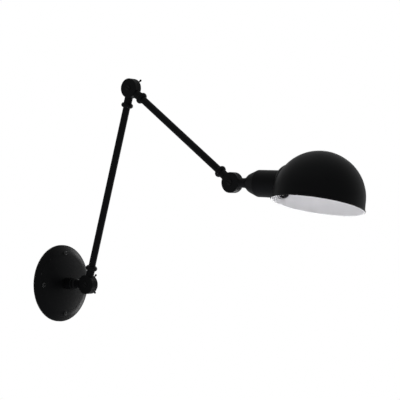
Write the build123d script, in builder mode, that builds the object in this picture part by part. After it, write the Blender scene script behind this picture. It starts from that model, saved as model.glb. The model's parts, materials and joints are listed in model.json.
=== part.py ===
from build123d import *
from math import asin, cos, degrees, radians, sin
import os

# Articulating wall lamp, in millimetres.
# Origin: centre of the wall rose's back face. The wall is the plane Y = 0, the lamp
# reaches out along -Y, +Z is up, and every hinge of the arms turns about X.
# Each piece stands where it is in the rest pose: lower arm up, upper arm down,
# head nearly level, with the shade rolled a little towards -X.

# ---------------------------------------------------------------- driving sizes
# pose at rest, degrees above the line that leads straight out of the wall
lower_angle = 73.7
upper_angle = -37.5
head_angle = -2.4
head_roll = 12.7

# reach
base_reach = 64.3  # wall to the first hinge
lower_length = 343.4  # hinge to hinge
upper_length = 262.8

# arm tubes and the turned ferrules on their ends
tube_d = 12.0
tube_wall = 1.0
ferrule_d = 20.0
ferrule_length = 7.8
ferrule_lip = 1.4  # how far the ferrule's ends stand out of the tube

# knuckles: two half discs on one bolt, with a friction ring between them
knuckle_d = 32.6
knuckle_width = 15.2
ring_gap = 0.6
ring_width = 2.4
knuckle_rim = 2.8
knuckle_wall = 2.0
knuckle_round = 1.2
knuckle_clearance = 0.5
pivot_boss_d = 13.0
stem_d = 13.7
stem_length = 25.2
spigot_grip = 14.0
cable_bore_d = 6.4

# pivot hardware
bolt_d = 5.0
bolt_head_d = 9.2
bolt_head_height = 2.4
bolt_head_recess = 1.2
bolt_head_round = 0.6
bolt_chamfer = 0.5
bolt_slot = 1.2
bolt_slot_turn = 35.0
bolt_tail = 1.2
washer_d = 11.0
washer_thickness = 1.0
spring_washer_d = 9.2
spring_washer_thickness = 1.2
wing_span = 34.0
wing_height = 10.6
wing_thickness = 2.4
wing_tip_r = 1.9
wing_hub_d = 11.4
wing_hub_height = 6.8
wing_hub_taper = 4.0
wing_foot = 0.8  # height of the ears' lower edge above the seat
wing_foot_reach = 7.1
wing_saddle = 4.9  # height of the dip between the ears and their tips
wing_saddle_reach = 9.1
wing_root = 6.4
wing_root_reach = 3.4
base_wing_turn = 4.0  # how far each wing nut leans from upright, away from the wall
elbow_wing_turn = 20.0
head_wing_turn = 86.0

# wall rose
rose_d = 132.6
rose_wall = 1.2
rose_edge = 3.0
rose_edge_round = 1.0
rose_shoulder_d = 100.0
rose_shoulder_height = 11.3
rose_height = 16.3
rose_land_d = 30.0
turret_d = 19.6
turret_neck_d = 16.8
turret_neck_stand = 1.2  # how far the turret's neck stands out inside the rose
turret_round = 0.8

# rose fixing: four screws into pillars on the mounting plate
rose_screw_pcd = 104.8
rose_screw_d = 4.0
rose_screw_head_d = 7.2
rose_screw_head_height = 2.4
rose_screw_dome = 1.7
rose_screw_recess = 4.2
rose_screw_blade = 1.0
rose_screw_recess_depth = 1.4
rose_screw_stand = 0.5  # from the screw's tip to the mounting plate
rose_seat_height = 10.4
rose_pad_d = 7.6
rose_pad_height = 2.4
pillar_d = 7.0

# mounting plate
plate_d = 122.0
plate_thickness = 1.5
plate_cable_hole_d = 24.0
plate_slot_spacing = 70.0
plate_slot_length = 12.0
plate_slot_width = 5.0
terminal_length = 27.0
terminal_depth = 16.0
terminal_height = 9.0
terminal_corner = 1.5
terminal_bore_height = 3.8  # centre of the wire bores above the plate
terminal_screw_offset = 4.8
terminal_drop = 30.0
terminal_pitch = 9.0
terminal_sleeve_d = 5.0
terminal_wire_d = 3.0
terminal_screw_d = 2.6
terminal_screw_slot = 0.6
terminal_screw_drop = 0.8
terminal_fixing_d = 2.6
terminal_fixing_head_d = 4.6
terminal_fixing_head_height = 1.2
earth_offset = 30.0
earth_screw_d = 4.0
earth_head_d = 8.0
earth_head_height = 2.6
earth_washer_d = 10.0
earth_washer_thickness = 1.0

# swivels: a hollow threaded tail, held by a stop washer, spring washer and locknut
tail_d = 10.0
swivel_disc_thickness = 0.8
stop_washer_thickness = 1.0
tail_spring_thickness = 1.2
locknut_flats = 14.0
locknut_height = 3.2
tail_end_margin = 2.0
base_stop_washer_d = 18.0
base_stop_lug_reach = 14.0  # from the swivel's axis
base_stop_lug_width = 5.0
base_stop_pin_r = 12.0
base_stop_pin_d = 3.0
base_stop_pin_length = 3.6
head_stop_washer_d = 14.0
head_stop_lug_reach = 9.2
head_stop_lug_width = 3.0
head_stop_pin_r = 8.2
head_stop_pin_d = 1.6
head_stop_pin_length = 1.4

# lampholder cup
neck_d = 15.2
cup_start_d = 16.6
cup_neck_d = 17.0
cup_neck_at = 29.5  # along the head's axis, from the head hinge
cup_shoulder_d = 30.8
cup_shoulder_at = 37.4
cup_full_d = 42.0
cup_full_at = 51.3
cup_mouth_d = 42.4
cup_mouth_at = 94.8
cup_wall = 1.5
cup_bore_d = 39.2
cup_floor = 6.0
cup_floor_d = 19.6
cup_turn_round = 4.0

# lampholder: a porcelain insert on a bridge, held in the cup by the shade ring
insert_d = 37.6
insert_back_at = 51.0
insert_shoulder_at = 81.8
insert_nose_d = 34.4
insert_nose_at = 95.6
insert_floor_at = 66.0
insert_nose_round = 1.0
shell_bore_d = 26.6
shell_wall = 0.5
shell_mouth_at = 92.0
shell_tongue_height = 3.5  # from the insert's floor up to the shell
shell_tongue_inset = 0.4  # keeps the flat tongue's corners within the shell's outside
shell_tab_end = 7.5  # from the head's axis
contact_width = 6.0
contact_thickness = 0.6
contact_rise = 3.0
contact_foot_end = 12.6
contact_bend = 3.0
contact_top_start = -1.5
contact_top_end = -5.5
bridge_width = 11.0
bridge_thickness = 1.5
bridge_span = 36.4
bridge_hole_d = 6.0
holder_screw_spacing = 21.0
holder_screw_d = 3.0
holder_screw_tip = 1.0  # stands out behind the bridge
holder_screw_head_d = 5.0
holder_screw_head_height = 1.6
holder_screw_slot = 0.7
terminal_post_d = 3.0
terminal_post_spacing = 20.0
terminal_post_head_d = 4.6
terminal_post_head_height = 0.8
terminal_barrel_d = 6.0
terminal_barrel_length = 8.0
terminal_barrel_wire_d = 2.2
terminal_barrel_wire_at = 3.0  # from the barrel's end

# shade
dome_r = 69.24
dome_centre_at = 162.6
dome_centre_drop = 17.9
skirt_depth = 12.1
rim_d = 140.0
rim_bead_d = 2.2
shade_wall = 1.0
shade_seat_d = 43.2
collar_flat_d = 42.2
collar_d = 62.0
collar_depth = 13.1
ring_flange_d = 42.0
ring_flange = 2.2
ring_flange_round = 0.5
ring_wall = 1.6

# small features
small_head_round = 0.4
slot_run = 20.0  # long enough to cut any screw's slot right across its head

# clearances
fixed_fit = 0.05  # between round faces that don't turn on each other
running_fit = 0.06  # radial, between a shaft and the bore that turns on it
screw_fit = 0.2
stop_washer_gap = 0.1  # between a stop washer and the face that it turns beside

# ---------------------------------------------------------------- worked-out sizes
knuckle_r = knuckle_d / 2
half_width = (knuckle_width - ring_gap) / 2
tube_r = tube_d / 2
tube_bore_r = tube_r - tube_wall
stem_r = stem_d / 2
bolt_r = bolt_d / 2
tail_r = tail_d / 2
neck_r = neck_d / 2
ferrule_end = stem_length + ferrule_length
outer_face = knuckle_width / 2
wing_seat = outer_face + washer_thickness + spring_washer_thickness

x_axis = Vector(1, 0, 0)
wall_normal = Vector(0, -1, 0)


def heading(angle):
    """Direction of an arm in the plane X = 0, at an angle above the wall's normal."""
    return Vector(0, -cos(radians(angle)), sin(radians(angle)))


base_pivot = wall_normal * base_reach
elbow_pivot = base_pivot + heading(lower_angle) * lower_length
head_pivot = elbow_pivot + heading(upper_angle) * upper_length

# the head's own frame: along its axis, and up out of the dome
head_axis = heading(head_angle)
head_lift = Vector(0, sin(radians(head_angle)), cos(radians(head_angle)))
dome_up = head_lift * cos(radians(head_roll)) + x_axis * sin(radians(head_roll))


def profile_plane(origin, angle):
    """Half-section plane of an arm: local X is the radius, local Y runs along the arm."""
    return Plane(origin=origin, x_dir=x_axis, z_dir=x_axis.cross(heading(angle)))


def section_plane(origin, angle, distance):
    """Plane square to an arm, at a distance along it."""
    return Plane(origin=origin + heading(angle) * distance, x_dir=x_axis, z_dir=heading(angle))


def pivot_plane(pivot, x):
    """Plane square to a hinge axis, at a distance along X from the arms' plane."""
    return Plane(origin=pivot + x_axis * x, x_dir=(0, 1, 0), z_dir=x_axis)


def finish(builder, name):
    """Label a finished piece and write it to its own file."""
    builder.part.label = name
    export_step(builder.part, f"parts/{name}.step")


os.makedirs("parts", exist_ok=True)


# ---------------------------------------------------------------- knuckles and arms
def knuckle_half(pivot, angle, side, neck_radius, steps):
    """Half of a hinge knuckle with the stem that leads into its arm.

    side is -1 for the half that takes the bolt's head and +1 for the wing nut's half.
    steps lists (radius, distance) of the turned tail beyond the stem.
    """
    inner_face = side * ring_gap / 2
    tail_end = steps[-1][1]
    with BuildPart() as half:
        with BuildSketch(pivot_plane(pivot, inner_face)):
            Circle(knuckle_r)
        extrude(amount=side * half_width)
        outer_rim = half.edges().filter_by(GeomType.CIRCLE).sort_by(Axis.X)
        fillet(outer_rim[0 if side < 0 else -1], radius=knuckle_round)

        # stem and tail, turned about the arm's axis
        with BuildSketch(profile_plane(pivot, angle)):
            with BuildLine():
                corners = [(0, 0), (neck_radius, 0), (neck_radius, stem_length)]
                start = stem_length
                for radius, distance in steps:
                    corners += [(radius, start), (radius, distance)]
                    start = distance
                corners.append((0, tail_end))
                Polyline(*corners, close=True)
            make_face()
        revolve(axis=Axis(pivot, heading(angle)))

        # room for the other half to turn beside this one
        with BuildSketch(pivot_plane(pivot, inner_face)):
            Circle(knuckle_r + knuckle_clearance)
        extrude(amount=-side * knuckle_width, mode=Mode.SUBTRACT)

        # hollow for the leads, round the bolt's boss
        with BuildSketch(pivot_plane(pivot, inner_face)):
            Circle(knuckle_r - knuckle_rim)
            Circle(pivot_boss_d / 2, mode=Mode.SUBTRACT)
        extrude(amount=side * (half_width - knuckle_wall), mode=Mode.SUBTRACT)

        # bolt hole, and a recess for the bolt's head
        with BuildSketch(pivot_plane(pivot, inner_face)):
            Circle(bolt_r + running_fit)
        extrude(amount=side * half_width, mode=Mode.SUBTRACT)
        if side < 0:
            with BuildSketch(pivot_plane(pivot, -outer_face)):
                Circle(bolt_head_d / 2 + screw_fit)
            extrude(amount=bolt_head_recess, mode=Mode.SUBTRACT)

        # cable bore from the hollow out through the tail
        bore_start = knuckle_r - knuckle_rim - knuckle_wall
        with BuildSketch(section_plane(pivot, angle, bore_start)):
            Circle(cable_bore_d / 2)
        extrude(amount=tail_end - bore_start, mode=Mode.SUBTRACT)
    return half


def ferrule(pivot, angle, inner_radius):
    """Turned bead that covers the joint between a stem and its tube."""
    edge_r = tube_r + ferrule_lip
    with BuildPart() as bead:
        with BuildSketch(profile_plane(pivot, angle)):
            with BuildLine():
                inner = Line((inner_radius, ferrule_end), (inner_radius, stem_length))
                Line(inner @ 1, (edge_r, stem_length))
                middle = (ferrule_d / 2, stem_length + ferrule_length / 2)
                ThreePointArc((edge_r, stem_length), middle, (edge_r, ferrule_end))
                Line((edge_r, ferrule_end), inner @ 0)
            make_face()
        revolve(axis=Axis(pivot, heading(angle)))
    return bead


def arm_tube(pivot, angle, length):
    """Steel tube between the stems of two knuckles."""
    with BuildPart() as tube:
        with BuildSketch(section_plane(pivot, angle, stem_length)):
            Circle(tube_r)
            Circle(tube_bore_r, mode=Mode.SUBTRACT)
        extrude(amount=length - 2 * stem_length)
    return tube


arm_spigot = [(tube_bore_r - fixed_fit, stem_length + spigot_grip)]
arms = {
    "lower_arm": (base_pivot, elbow_pivot, lower_angle, lower_length, -1, "heel", "elbow"),
    "upper_arm": (elbow_pivot, head_pivot, upper_angle, upper_length, 1, "elbow", "head"),
}
for arm, (start, end, angle, length, side, start_name, end_name) in arms.items():
    for pivot, direction, place in ((start, angle, start_name), (end, angle + 180, end_name)):
        finish(knuckle_half(pivot, direction, side, stem_r, arm_spigot), f"{arm}_{place}_knuckle")
        finish(ferrule(pivot, direction, tube_r + fixed_fit), f"{arm}_{place}_ferrule")
    finish(arm_tube(start, angle, length), f"{arm}_tube")


# ---------------------------------------------------------------- pivot hardware
def pivot_bolt(pivot):
    """Slotted cheese-head bolt through both halves of a knuckle."""
    head_seat = -outer_face + bolt_head_recess
    tip = wing_seat + wing_hub_height + bolt_tail
    with BuildPart() as bolt:
        with BuildSketch(pivot_plane(pivot, head_seat)):
            Circle(bolt_head_d / 2)
        extrude(amount=-bolt_head_height)
        head_top = bolt.edges().filter_by(GeomType.CIRCLE).sort_by(Axis.X)[0]
        fillet(head_top, radius=bolt_head_round)
        with BuildSketch(pivot_plane(pivot, head_seat - bolt_head_height)):
            Rectangle(slot_run, bolt_slot, rotation=bolt_slot_turn)
        extrude(amount=bolt_slot, mode=Mode.SUBTRACT)
        with BuildSketch(pivot_plane(pivot, head_seat)):
            Circle(bolt_r)
        extrude(amount=tip - head_seat)
        chamfer(bolt.edges().filter_by(GeomType.CIRCLE).sort_by(Axis.X)[-1], length=bolt_chamfer)
    return bolt


def flat_ring(plane, outer_radius, inner_radius, thickness):
    """Washer or friction ring that starts on a plane."""
    with BuildPart() as ring:
        with BuildSketch(plane):
            Circle(outer_radius)
            Circle(inner_radius, mode=Mode.SUBTRACT)
        extrude(amount=thickness)
    return ring


def split_washer(plane, outer_radius, inner_radius, thickness):
    """Spring washer: a ring with one cut through it."""
    with BuildPart() as washer:
        with BuildSketch(plane):
            Circle(outer_radius)
            Circle(inner_radius, mode=Mode.SUBTRACT)
            with Locations(((outer_radius + inner_radius) / 2, 0)):
                Rectangle(2 * (outer_radius - inner_radius), thickness / 2, mode=Mode.SUBTRACT)
        extrude(amount=thickness)
    return washer


def wing_nut(pivot, turn):
    """Wing nut: a tapered hub with two ears, leaning by an angle from upright."""
    seat = pivot_plane(pivot, wing_seat)
    lean = (0, -sin(radians(turn)), cos(radians(turn)))
    ears = Plane(origin=seat.origin, x_dir=lean, z_dir=Vector(*lean).cross(x_axis))
    hub = Plane(origin=seat.origin, x_dir=ears.z_dir, z_dir=x_axis)
    tip_reach = wing_span / 2 - wing_tip_r
    tip_height = wing_height - wing_tip_r
    foot = (wing_foot_reach, wing_foot)
    tip_outer = (wing_span / 2, tip_height)
    tip_top = (tip_reach, wing_height)
    tip_inner = (tip_reach - wing_tip_r, tip_height)
    saddle = (wing_saddle_reach, wing_saddle)
    root = (wing_root_reach, wing_root)
    with BuildPart() as nut:
        with BuildSketch(hub):
            Circle(wing_hub_d / 2)
        extrude(amount=wing_hub_height, taper=wing_hub_taper)
        with BuildSketch(ears):
            with BuildLine():
                Polyline((0, wing_root), (0, wing_foot), foot, tip_outer)
                ThreePointArc(tip_outer, tip_top, tip_inner)
                ThreePointArc(tip_inner, saddle, root)
                Line(root, (0, wing_root))
            make_face()
            mirror(about=Plane.YZ)
        extrude(amount=wing_thickness / 2, both=True)
        with BuildSketch(hub):
            Circle(bolt_r + running_fit)
        extrude(amount=wing_height, mode=Mode.SUBTRACT)
    return nut


hinges = {
    "base": (base_pivot, base_wing_turn),
    "elbow": (elbow_pivot, elbow_wing_turn),
    "head": (head_pivot, head_wing_turn),
}
for hinge, (pivot, turn) in hinges.items():
    finish(pivot_bolt(pivot), f"{hinge}_pivot_bolt")
    rim_middle = knuckle_r - knuckle_rim / 2
    ring_plane = pivot_plane(pivot, -ring_gap / 2)
    friction_ring = flat_ring(
        ring_plane, rim_middle + ring_width / 2, rim_middle - ring_width / 2, ring_gap
    )
    finish(friction_ring, f"{hinge}_friction_ring")
    washer_bore = bolt_r + screw_fit
    washer = flat_ring(pivot_plane(pivot, outer_face), washer_d / 2, washer_bore, washer_thickness)
    finish(washer, f"{hinge}_pivot_washer")
    spring_plane = pivot_plane(pivot, outer_face + washer_thickness)
    spring = split_washer(spring_plane, spring_washer_d / 2, washer_bore, spring_washer_thickness)
    finish(spring, f"{hinge}_spring_washer")
    finish(wing_nut(pivot, turn), f"{hinge}_wing_nut")


# ---------------------------------------------------------------- wall rose
def off_wall(height):
    """Plane parallel to the wall, with local X = X and local Y = Z."""
    return Plane(origin=wall_normal * height, x_dir=x_axis, z_dir=wall_normal)


rose_r = rose_d / 2
rose_screw_r = rose_screw_pcd / 2
rose_profile = Plane(origin=(0, 0, 0), x_dir=x_axis, z_dir=(0, 0, -1))  # local Y leads off the wall


def rose_half_section(inset):
    """Half-section of the rose's outside, or of its inside when inset by the wall."""
    edge = rose_r - inset
    top = rose_height - inset
    land = rose_land_d / 2
    shoulder = (rose_shoulder_d / 2, rose_shoulder_height - inset)
    cap_radius = (shoulder[0] ** 2 - land**2 + (top - shoulder[1]) ** 2) / (2 * (top - shoulder[1]))
    slope = degrees(asin(shoulder[0] / cap_radius))
    rim = (edge - rose_edge_round, rose_edge + rose_edge_round - inset)
    sag_height = top - (shoulder[0] / 2) ** 2 / (2 * cap_radius)
    Line((0, 0), (edge, 0))
    Line((edge, 0), (edge, rose_edge - inset))
    RadiusArc((edge, rose_edge - inset), rim, -rose_edge_round)
    TangentArc(shoulder, rim, tangent=(cos(radians(slope)), -sin(radians(slope))))
    ThreePointArc(shoulder, (shoulder[0] / 2, sag_height), (land, top))
    Polyline((land, top), (0, top), (0, 0))


with BuildPart() as wall_rose:
    with BuildSketch(rose_profile):
        with BuildLine():
            rose_half_section(0)
        make_face()
    revolve(axis=Axis((0, 0, 0), wall_normal))
    with BuildSketch(rose_profile):
        with BuildLine():
            rose_half_section(rose_wall)
        make_face()
    revolve(axis=Axis((0, 0, 0), wall_normal), mode=Mode.SUBTRACT)
    # flat seats for the four fixing screws
    with BuildSketch(off_wall(rose_seat_height)):
        with PolarLocations(rose_screw_r, 4):
            Circle(rose_pad_d / 2)
    extrude(amount=-rose_pad_height)
    with BuildSketch(off_wall(rose_seat_height)):
        with PolarLocations(rose_screw_r, 4):
            Circle(rose_pad_d / 2)
    extrude(amount=rose_height, mode=Mode.SUBTRACT)
    with BuildSketch(off_wall(0)):
        Circle(turret_neck_d / 2 + fixed_fit)
        with PolarLocations(rose_screw_r, 4):
            Circle(rose_screw_d / 2 + screw_fit)
    extrude(amount=rose_height, mode=Mode.SUBTRACT)
finish(wall_rose, "wall_rose")

pillar_top = rose_seat_height - rose_pad_height
with BuildPart() as plate_pillars:
    with BuildSketch(off_wall(plate_thickness)):
        with PolarLocations(rose_screw_r, 4):
            Circle(pillar_d / 2)
            Circle(rose_screw_d / 2 + fixed_fit, mode=Mode.SUBTRACT)
    extrude(amount=pillar_top - plate_thickness)
finish(plate_pillars, "plate_pillars")

screw_tip = plate_thickness + rose_screw_stand
with BuildPart() as rose_screws:
    with BuildSketch(off_wall(screw_tip)):
        with PolarLocations(rose_screw_r, 4):
            Circle(rose_screw_d / 2)
    extrude(amount=rose_seat_height - screw_tip)
    with BuildSketch(off_wall(rose_seat_height)):
        with PolarLocations(rose_screw_r, 4):
            Circle(rose_screw_head_d / 2)
    extrude(amount=rose_screw_head_height)
    head_rims = rose_screws.edges().filter_by(GeomType.CIRCLE).group_by(Axis.Y)[0]
    fillet(head_rims, radius=rose_screw_dome)
    with BuildSketch(off_wall(rose_seat_height + rose_screw_head_height)):
        with PolarLocations(rose_screw_r, 4):
            Rectangle(rose_screw_recess, rose_screw_blade)
            Rectangle(rose_screw_blade, rose_screw_recess)
    extrude(amount=-rose_screw_recess_depth, mode=Mode.SUBTRACT)
finish(rose_screws, "rose_screws")

terminal_fixing_place = (terminal_pitch / 2, -terminal_drop)  # between two poles
earth_place = (0, earth_offset)

with BuildPart() as mounting_plate:
    with BuildSketch(off_wall(0)):
        Circle(plate_d / 2)
        Circle(plate_cable_hole_d / 2, mode=Mode.SUBTRACT)
        with Locations((-plate_slot_spacing / 2, 0), (plate_slot_spacing / 2, 0)):
            SlotOverall(plate_slot_length, plate_slot_width, mode=Mode.SUBTRACT)
        with Locations(earth_place):
            Circle(earth_screw_d / 2 + fixed_fit, mode=Mode.SUBTRACT)
        with Locations(terminal_fixing_place):
            Circle(terminal_fixing_d / 2 + fixed_fit, mode=Mode.SUBTRACT)
    extrude(amount=plate_thickness)
finish(mounting_plate, "mounting_plate")

# ---------------------------------------------------------------- wiring inside the rose
terminal_top = plate_thickness + terminal_height
terminal_axis_height = plate_thickness + terminal_bore_height
pole_reaches = [-terminal_pitch, 0, terminal_pitch]
screw_drops = [-terminal_drop - terminal_screw_offset, -terminal_drop + terminal_screw_offset]
screw_places = [(x, z) for x in pole_reaches for z in screw_drops]
terminal_end = (0, -terminal_axis_height, -terminal_drop - terminal_depth / 2)
terminal_back = Plane(origin=terminal_end, x_dir=x_axis, z_dir=(0, 0, 1))
bore_places = [(x, 0) for x in pole_reaches]

with BuildPart() as terminal_block:
    with BuildSketch(off_wall(plate_thickness)):
        with Locations((0, -terminal_drop)):
            RectangleRounded(terminal_length, terminal_depth, terminal_corner)
    extrude(amount=terminal_height)
    with BuildSketch(terminal_back):
        with Locations(*bore_places):
            Circle(terminal_sleeve_d / 2 + fixed_fit)
    extrude(amount=terminal_depth, mode=Mode.SUBTRACT)
    with BuildSketch(off_wall(terminal_axis_height)):
        with Locations(*screw_places):
            Circle(terminal_screw_d / 2 + screw_fit)
    extrude(amount=terminal_height, mode=Mode.SUBTRACT)
    with BuildSketch(off_wall(plate_thickness)):
        with Locations(terminal_fixing_place):
            Circle(terminal_fixing_d / 2 + screw_fit)
    extrude(amount=terminal_height, mode=Mode.SUBTRACT)
finish(terminal_block, "terminal_block")

with BuildPart() as terminal_sleeves:
    with BuildSketch(terminal_back):
        with Locations(*bore_places):
            Circle(terminal_sleeve_d / 2)
            Circle(terminal_wire_d / 2, mode=Mode.SUBTRACT)
    extrude(amount=terminal_depth)
    with BuildSketch(off_wall(terminal_axis_height)):
        with Locations(*screw_places):
            Circle(terminal_screw_d / 2 + fixed_fit)
    extrude(amount=terminal_height, mode=Mode.SUBTRACT)
finish(terminal_sleeves, "terminal_sleeves")

screw_foot = terminal_axis_height + terminal_wire_d / 2
screw_head = terminal_top - terminal_screw_drop
with BuildPart() as terminal_screws:
    with BuildSketch(off_wall(screw_foot)):
        with Locations(*screw_places):
            Circle(terminal_screw_d / 2)
    extrude(amount=screw_head - screw_foot)
    with BuildSketch(off_wall(screw_head)):
        with Locations(*screw_places):
            Rectangle(terminal_screw_d, terminal_screw_slot)
    extrude(amount=-terminal_screw_slot, mode=Mode.SUBTRACT)
finish(terminal_screws, "terminal_screws")

with BuildPart() as terminal_fixing_screw:
    with BuildSketch(off_wall(0)):
        with Locations(terminal_fixing_place):
            Circle(terminal_fixing_d / 2)
    extrude(amount=terminal_top)
    with BuildSketch(off_wall(terminal_top)):
        with Locations(terminal_fixing_place):
            Circle(terminal_fixing_head_d / 2)
    extrude(amount=terminal_fixing_head_height)
    fillet(terminal_fixing_screw.edges().group_by(Axis.Y)[0], radius=small_head_round)
finish(terminal_fixing_screw, "terminal_fixing_screw")

with BuildPart() as earth_washer:
    with BuildSketch(off_wall(plate_thickness)):
        with Locations(earth_place):
            Circle(earth_washer_d / 2)
            Circle(earth_screw_d / 2 + screw_fit, mode=Mode.SUBTRACT)
    extrude(amount=earth_washer_thickness)
finish(earth_washer, "earth_washer")

earth_seat = plate_thickness + earth_washer_thickness
with BuildPart() as earth_screw:
    with BuildSketch(off_wall(0)):
        with Locations(earth_place):
            Circle(earth_screw_d / 2)
    extrude(amount=earth_seat)
    with BuildSketch(off_wall(earth_seat)):
        with Locations(earth_place):
            Circle(earth_head_d / 2)
    extrude(amount=earth_head_height)
    fillet(earth_screw.edges().group_by(Axis.Y)[0], radius=small_head_round)
    with BuildSketch(off_wall(earth_seat + earth_head_height)):
        with Locations(earth_place):
            Rectangle(slot_run, bolt_slot)
    extrude(amount=-bolt_slot, mode=Mode.SUBTRACT)
finish(earth_screw, "earth_screw")

# ---------------------------------------------------------------- base swivel
# distances from the base hinge back towards the wall, along the swivel's axis
swivel_disc_at = ferrule_end
turret_at = swivel_disc_at + swivel_disc_thickness
turret_neck_at = base_reach - rose_height
base_neck_end = turret_neck_at + rose_wall + turret_neck_stand
base_washer_at = base_neck_end + stop_washer_gap
base_spring_at = base_washer_at + stop_washer_thickness
base_locknut_at = base_spring_at + tail_spring_thickness
base_tail_end = base_locknut_at + locknut_height + tail_end_margin

base_steps = [(tube_r, ferrule_end), (tail_r, base_tail_end)]
finish(knuckle_half(base_pivot, 180, 1, stem_r, base_steps), "base_knuckle")
finish(ferrule(base_pivot, 180, tube_r + fixed_fit), "base_ferrule")

base_disc_plane = section_plane(base_pivot, 180, swivel_disc_at)
base_disc = flat_ring(base_disc_plane, turret_d / 2, tail_r + fixed_fit, swivel_disc_thickness)
finish(base_disc, "base_swivel_disc")

with BuildPart() as base_turret:
    with BuildSketch(section_plane(base_pivot, 180, turret_at)):
        Circle(turret_d / 2)
    extrude(amount=turret_neck_at - turret_at)
    fillet(base_turret.edges().sort_by(Axis.Y)[0], radius=turret_round)
    with BuildSketch(section_plane(base_pivot, 180, turret_neck_at)):
        Circle(turret_neck_d / 2)
    extrude(amount=rose_wall + turret_neck_stand)
    with BuildSketch(section_plane(base_pivot, 180, turret_at)):
        Circle(tail_r + running_fit)
    extrude(amount=base_neck_end - turret_at, mode=Mode.SUBTRACT)
finish(base_turret, "base_turret")


def stop_washer(plane, outer_radius, lug_reach, lug_width):
    """Washer keyed on a swivel's tail, with a lug that meets the stop pin."""
    with BuildPart() as washer:
        with BuildSketch(plane):
            Circle(outer_radius)
            with Locations((0, -lug_reach / 2)):
                Rectangle(lug_width, lug_reach)
            Circle(tail_r + fixed_fit, mode=Mode.SUBTRACT)
        extrude(amount=stop_washer_thickness)
    return washer


def locknut(plane):
    """Thin hexagon nut on a swivel's tail."""
    with BuildPart() as nut:
        with BuildSketch(plane):
            RegularPolygon(locknut_flats / 2, 6, major_radius=False)
            Circle(tail_r + fixed_fit, mode=Mode.SUBTRACT)
        extrude(amount=locknut_height)
    return nut


def stop_pin(plane, place_radius, pin_d, length):
    """Pin that a swivel's stop washer turns against, up from the axis."""
    with BuildPart() as pin:
        with BuildSketch(plane):
            with Locations((0, place_radius)):
                Circle(pin_d / 2)
        extrude(amount=length)
    return pin


base_lug_plane = Plane(
    origin=base_pivot + heading(180) * base_washer_at, x_dir=x_axis * -1, z_dir=heading(180)
)
base_stop = stop_washer(
    base_lug_plane, base_stop_washer_d / 2, base_stop_lug_reach, base_stop_lug_width
)
finish(base_stop, "base_stop_washer")
base_spring = split_washer(
    section_plane(base_pivot, 180, base_spring_at),
    base_stop_washer_d / 2,
    tail_r + fixed_fit,
    tail_spring_thickness,
)
finish(base_spring, "base_tail_spring_washer")
finish(locknut(section_plane(base_pivot, 180, base_locknut_at)), "base_locknut")
rose_land_inside = Plane(
    origin=wall_normal * (rose_height - rose_wall), x_dir=x_axis * -1, z_dir=wall_normal * -1
)
base_pin = stop_pin(rose_land_inside, base_stop_pin_r, base_stop_pin_d, base_stop_pin_length)
finish(base_pin, "base_stop_pin")

# ---------------------------------------------------------------- head: knuckle and swivel
# distances from the head hinge along the head's axis
head_disc_at = stem_length
cup_start_at = head_disc_at + swivel_disc_thickness
cup_floor_at = cup_start_at + cup_floor
head_washer_at = cup_floor_at + stop_washer_gap
head_spring_at = head_washer_at + stop_washer_thickness
head_locknut_at = head_spring_at + tail_spring_thickness
head_tail_end = head_locknut_at + locknut_height + tail_end_margin

head_steps = [(tail_r, head_tail_end)]
finish(knuckle_half(head_pivot, head_angle, -1, neck_r, head_steps), "head_knuckle")


def across_head(distance):
    """Plane square to the head's axis, rolled with the shade, at a distance from the hinge."""
    centre = head_pivot + head_axis * distance
    return Plane(origin=centre, x_dir=dome_up.cross(head_axis), z_dir=head_axis)


head_disc = flat_ring(across_head(head_disc_at), neck_r, tail_r + fixed_fit, swivel_disc_thickness)
finish(head_disc, "head_swivel_disc")
head_lug_plane = Plane(origin=head_pivot + head_axis * head_washer_at, x_dir=x_axis, z_dir=head_axis)
head_stop = stop_washer(head_lug_plane, head_stop_washer_d / 2, head_stop_lug_reach, head_stop_lug_width)
finish(head_stop, "head_stop_washer")
head_spring = split_washer(
    across_head(head_spring_at), head_stop_washer_d / 2, tail_r + fixed_fit, tail_spring_thickness
)
finish(head_spring, "head_tail_spring_washer")
finish(locknut(across_head(head_locknut_at)), "head_locknut")
head_pin = stop_pin(
    across_head(cup_floor_at), head_stop_pin_r, head_stop_pin_d, head_stop_pin_length
)
finish(head_pin, "head_stop_pin")

# ---------------------------------------------------------------- lampholder cup
# half-sections: local X leads up out of the dome, local Y along the head's axis
head_section = Plane(origin=head_pivot, x_dir=dome_up, z_dir=dome_up.cross(head_axis))
head_line = Axis(head_pivot, head_axis)

cup_start = (cup_start_d / 2, cup_start_at)
cup_neck = (cup_neck_d / 2, cup_neck_at)
cup_shoulder = (cup_shoulder_d / 2, cup_shoulder_at)
cup_full = (cup_full_d / 2, cup_full_at)
cup_mouth = (cup_mouth_d / 2, cup_mouth_at)
cup_slope = Vector(*cup_shoulder) - Vector(*cup_full)

with BuildPart() as lampholder_cup:
    with BuildSketch(head_section):
        with BuildLine():
            TangentArc(cup_shoulder, cup_neck, tangent=cup_slope)
            Polyline(cup_shoulder, cup_full, cup_mouth, (0, cup_mouth_at))
            Polyline((0, cup_mouth_at), (0, cup_start_at), cup_start, cup_neck)
        make_face()
    revolve(axis=head_line)
    rings = lampholder_cup.edges().filter_by(GeomType.CIRCLE)
    fillet(rings.sort_by(head_line)[-2], radius=cup_turn_round)
    with BuildSketch(head_section):
        with BuildLine():
            Polyline(
                (0, cup_floor_at),
                (cup_floor_d / 2, cup_floor_at),
                (cup_shoulder_d / 2 - cup_wall, cup_shoulder_at + cup_wall),
                (cup_bore_d / 2, cup_full_at + cup_wall),
                (cup_bore_d / 2, cup_mouth_at),
                (0, cup_mouth_at),
                close=True,
            )
        make_face()
    revolve(axis=head_line, mode=Mode.SUBTRACT)
    with BuildSketch(across_head(cup_start_at)):
        Circle(tail_r + running_fit)
    extrude(amount=cup_floor, mode=Mode.SUBTRACT)
finish(lampholder_cup, "lampholder_cup")

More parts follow.
